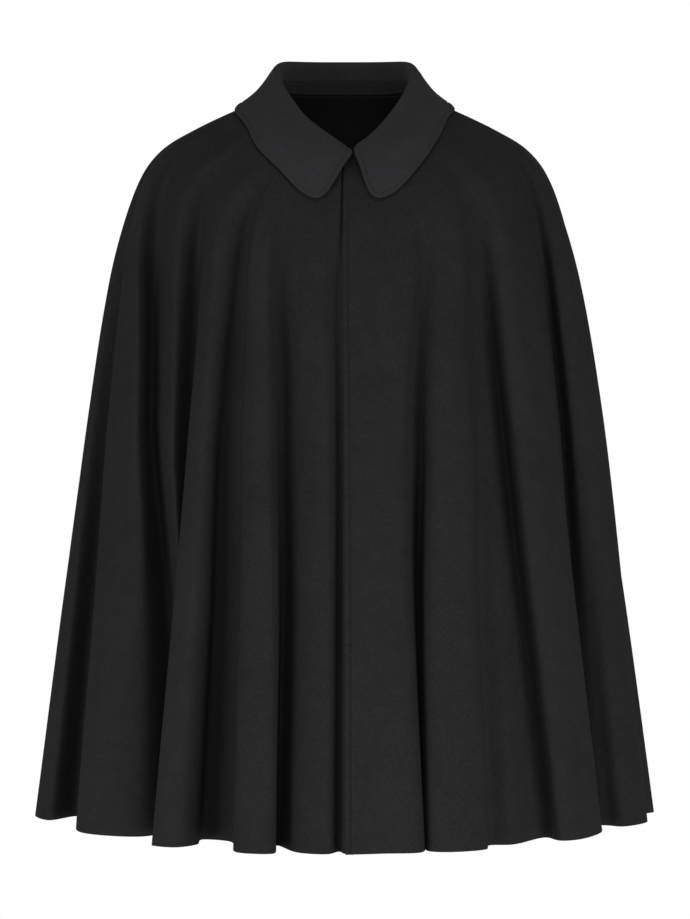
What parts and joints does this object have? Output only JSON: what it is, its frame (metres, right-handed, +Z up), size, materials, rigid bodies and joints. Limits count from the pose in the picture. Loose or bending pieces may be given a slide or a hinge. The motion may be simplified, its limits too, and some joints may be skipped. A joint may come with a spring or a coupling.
{
  "type": "wool cloak worn with no wearer",
  "caption": "Hip-length wool cloak with a turned-down round-tipped collar, a concealed front fastening and soft folds from the shoulders to a level hem, filled out with no wearer.",
  "frame": {"origin": "middle of the neck opening at the height of the neck seam's sides, where the wearer's neck and shoulders hold the cloak, 820 mm above the hem", "axes": "+Z up, the wearer's front faces -Y, the wearer's left is +X"},
  "size_m": [0.709, 0.4831, 0.8678],
  "materials": {
    "wool": "matte felted wool with a short nap",
    "collar_wool": "matte felted wool with a short nap"
  },
  "bodies": {
    "root": {"front_left": "wool", "front_right": "wool", "back": "wool", "collar_stand": "collar_wool", "collar_fall": "collar_wool"}
  },
  "joints": []
}
